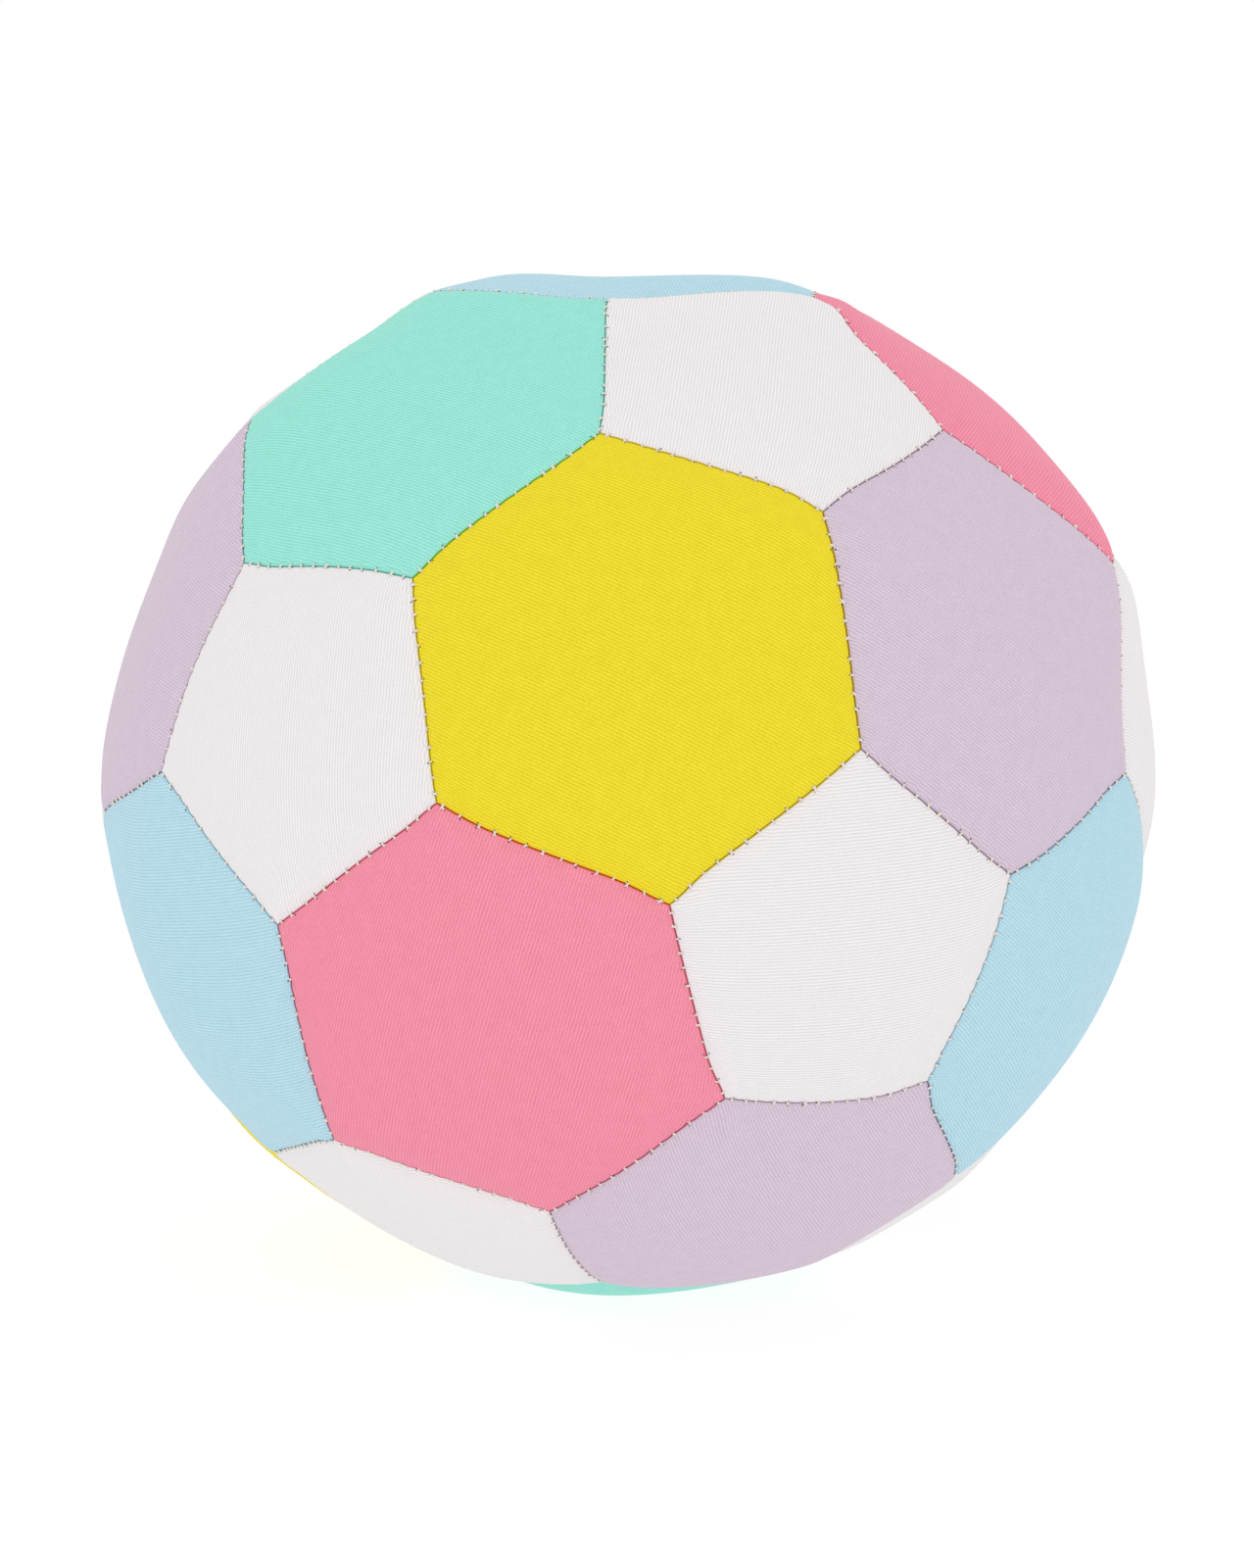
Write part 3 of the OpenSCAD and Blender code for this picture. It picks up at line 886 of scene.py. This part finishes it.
def canvas(name, code, thread_mm):
    """Rubberised plain weave: threads over and under, half drowned in the rubber."""
    material, skin = new_material(name)
    place = add(material, "ShaderNodeTexCoord").outputs["Object"]
    weave = add(material, "ShaderNodeTexChecker", [
        ("Vector", place), ("Scale", 1 / (thread_mm * MM)),
        ("Color1", linear(code)), ("Color2", [c * WEFT_SHADE for c in linear(code)[:3]] + [1])])
    bump = add(material, "ShaderNodeBump", [
        ("Height", weave.outputs["Fac"]), ("Strength", 0.5), ("Distance", 0.1 * MM)]).outputs["Normal"]
    material.node_tree.links.new(weave.outputs["Color"], skin.inputs["Base Color"])
    material.node_tree.links.new(bump, skin.inputs["Normal"])
    skin.inputs["Roughness"].default_value = 0.8
    return material


finish_with(nodes["valve_patch"], canvas("rubberised_canvas", "#D8D2C4", 0.6))

# Studio
# A photographer's light table under an even white sky, with two large weak lamps before the
# ball. The camera stands where the photograph was taken.
FLOOR_SIZE = 12.0

# The table's paper is grey but glows, so it shows white with only a faint shadow of the ball
FLOOR_GLOW = 0.88
bpy.ops.object.select_all(action="DESELECT")
bpy.ops.mesh.primitive_plane_add(size=FLOOR_SIZE, location=(0, 0, REST_Z))
floor = bpy.context.object
floor.name = "floor"
paper, paper_skin = new_material("white_paper")
paper_skin.inputs["Base Color"].default_value = linear("#707070")
paper_skin.inputs["Roughness"].default_value = 1.0
paper_skin.inputs["Specular IOR Level"].default_value = 0.0
paper_skin.inputs["Emission Color"].default_value = (1, 1, 1, 1)
paper_skin.inputs["Emission Strength"].default_value = FLOOR_GLOW
finish_with(floor, paper)

world = bpy.data.worlds.new("white_sky")
scene.world = world
world.use_nodes = True
sky = world.node_tree.nodes["Background"]
sky.inputs["Color"].default_value = (1, 1, 1, 1)
sky.inputs["Strength"].default_value = 1.0

# Each lamp's name, its place and size in metres, and its power in watts
LAMPS = (
    ("key_lamp", (-0.5, -1.6, 1.4), 1.4, 1.3),
    ("fill_lamp", (0.5, -1.7, 0.15), 1.0, 0.9))
for name, place, size, power in LAMPS:
    bpy.ops.object.light_add(type="AREA", location=place)
    lamp = bpy.context.object
    lamp.name = name
    lamp.data.size = size
    lamp.data.energy = power
    lamp.rotation_euler = (-lamp.location).to_track_quat("-Z", "Y").to_euler()

# The picture is 1280 by 1600 pixels, and the sensor's width lies along its tall side
SENSOR_MM = 36
LENS_MM = 74.12
CAMERA_FROM = 694 * MM
CAMERA_ELEVATION = math.radians(8.2)
CAMERA_TURN = math.radians(-0.47)
CAMERA_ROLL = math.radians(0.47)
BALL_RIGHT = 0.62 * MM
BALL_UP = 2.81 * MM
camera_data = bpy.data.cameras.new("camera")
camera_data.sensor_width = SENSOR_MM
camera_data.lens = LENS_MM
camera = bpy.data.objects.new("camera", camera_data)
scene.collection.objects.link(camera)
turn = Matrix.Rotation(CAMERA_TURN, 4, "Z") @ Matrix.Rotation(math.pi / 2 - CAMERA_ELEVATION, 4, "X")
turn = turn @ Matrix.Rotation(CAMERA_ROLL, 4, "Z")
camera.matrix_world = turn @ Matrix.Translation((-BALL_RIGHT, -BALL_UP, CAMERA_FROM))
scene.camera = camera
